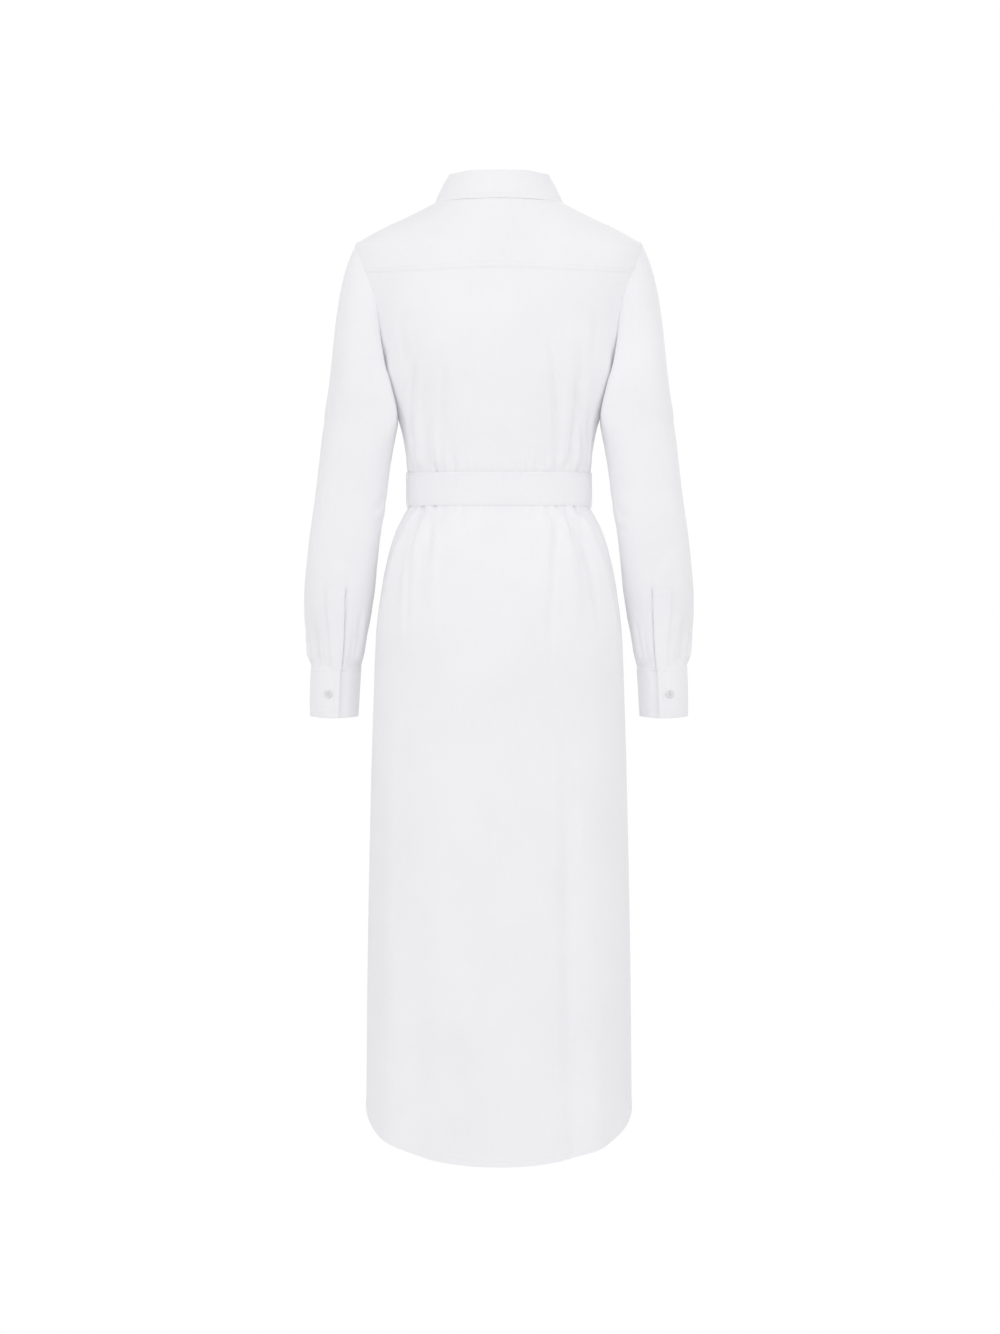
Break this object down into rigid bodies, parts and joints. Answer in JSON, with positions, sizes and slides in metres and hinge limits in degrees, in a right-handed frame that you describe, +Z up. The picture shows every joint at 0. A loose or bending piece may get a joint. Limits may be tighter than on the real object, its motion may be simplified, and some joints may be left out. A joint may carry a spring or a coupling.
{
  "type": "shirt dress",
  "caption": "Long white shirt dress, worn and hollow, with a shirt collar, back yoke, buttoned front and cuffs, self-fabric tie belt and a curved shirt-tail hem.",
  "frame": {"origin": "between the wearer's shoulders, level with the side of the neck just under the collar, where the dress hangs from the wearer", "axes": "+Z up along the body, -Y the way the wearer faces, +X the wearer's left"},
  "size_m": [0.506, 0.248, 1.29],
  "materials": {
    "cloth": "matte plain weave",
    "belt_cloth": "matte plain weave, doubled",
    "button": "satin"
  },
  "bodies": {
    "root": {"yoke": "cloth", "back_bodice": "cloth", "back_skirt": "cloth", "front_left_bodice": "cloth", "front_left_skirt": "cloth", "front_right_bodice": "cloth", "front_right_skirt": "cloth", "front_band": "cloth", "collar_stand": "cloth", "collar_fall": "cloth", "sleeve_left": "cloth", "sleeve_right": "cloth", "sleeve_binding_left": "cloth", "sleeve_binding_right": "cloth", "cuff_left": "cloth", "cuff_right": "cloth", "belt": "belt_cloth", "belt_knot": "belt_cloth", "belt_tail_left": "belt_cloth", "belt_tail_right": "belt_cloth", "belt_loop_left": "belt_cloth", "belt_loop_right": "belt_cloth", "collar_button": "button", "cuff_button_left": "button", "cuff_button_right": "button", "front_button_01": "button", "front_button_02": "button", "front_button_03": "button", "front_button_04": "button", "front_button_05": "button", "front_button_06": "button", "front_button_07": "button", "front_button_08": "button", "front_button_09": "button", "front_button_10": "button"}
  },
  "joints": []
}
